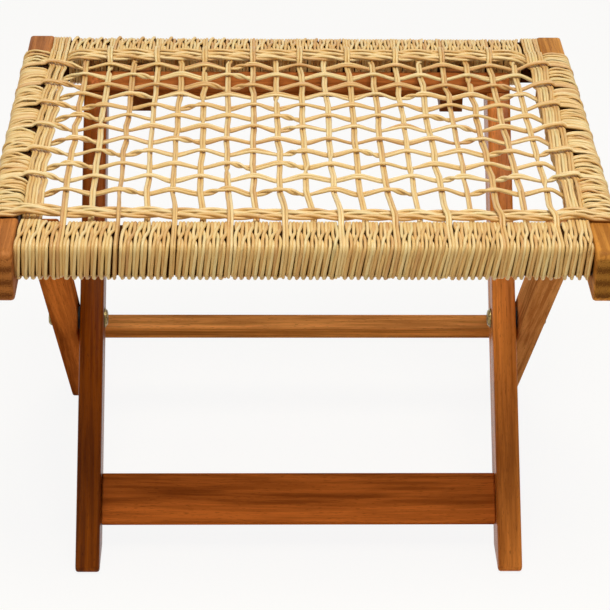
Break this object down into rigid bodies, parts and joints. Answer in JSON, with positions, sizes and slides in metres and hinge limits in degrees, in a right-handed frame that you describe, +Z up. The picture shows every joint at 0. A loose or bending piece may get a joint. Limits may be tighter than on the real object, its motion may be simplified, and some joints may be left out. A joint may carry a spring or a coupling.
{
  "type": "folding stool",
  "caption": "Low folding stool with crossed wooden legs on bolt pivots and a wooden seat frame wrapped and open-woven with natural cord.",
  "frame": {"origin": "on the floor under the leg pivots, midway between the feet", "axes": "+X to the stool's right, +Y to its back, +Z up"},
  "size_m": [0.5812, 0.5, 0.4013],
  "materials": {
    "wood": "oiled red-brown hardwood, satin",
    "cord": "straw-coloured round cord with a light sheen",
    "brass": "satin",
    "steel": "zinc plated",
    "black_plastic": "matte"
  },
  "bodies": {
    "outer_frame": {"left_outer_leg": "wood", "right_outer_leg": "wood", "rear_stretcher": "wood", "left_pivot_bolt": "brass", "right_pivot_bolt": "brass", "left_pivot_nut": "brass", "right_pivot_nut": "brass", "left_pivot_washer": "black_plastic", "right_pivot_washer": "black_plastic", "left_lower_stretcher_screw": "steel", "left_upper_stretcher_screw": "steel", "right_lower_stretcher_screw": "steel", "right_upper_stretcher_screw": "steel"},
    "inner_frame": {"left_inner_leg": "wood", "right_inner_leg": "wood", "front_stretcher": "wood", "top_bar": "wood", "left_top_bar_screw": "steel", "right_top_bar_screw": "steel"},
    "seat": {"left_side_rail": "wood", "right_side_rail": "wood", "front_rail": "wood", "rear_rail": "wood", "left_rail_wrap": "cord", "right_rail_wrap": "cord", "front_rail_wrap": "cord", "rear_rail_wrap": "cord", "woven_seat": "cord", "left_band": "cord", "right_band": "cord", "front_band": "cord", "rear_band": "cord", "left_seat_screw": "brass", "right_seat_screw": "brass", "left_seat_spacer": "black_plastic", "right_seat_spacer": "black_plastic", "left_cleat": "wood", "right_cleat": "wood", "left_cleat_front_screw": "steel", "left_cleat_rear_screw": "steel", "right_cleat_front_screw": "steel", "right_cleat_rear_screw": "steel"}
  },
  "joints": [
    {"name": "leg_fold", "type": "hinge", "parent": "outer_frame", "child": "inner_frame", "pos_m": [0, 0, 0.1857], "axis": [1, 0, 0], "range_deg": [0, 84]},
    {"name": "seat_tilt", "type": "hinge", "parent": "outer_frame", "child": "seat", "pos_m": [0, -0.163, 0.3627], "axis": [1, 0, 0], "range_deg": [0, 42.5]}
  ],
  "couplings": [
    {"joint": "seat_tilt", "follows": "leg_fold", "ratio": 0.5}
  ]
}
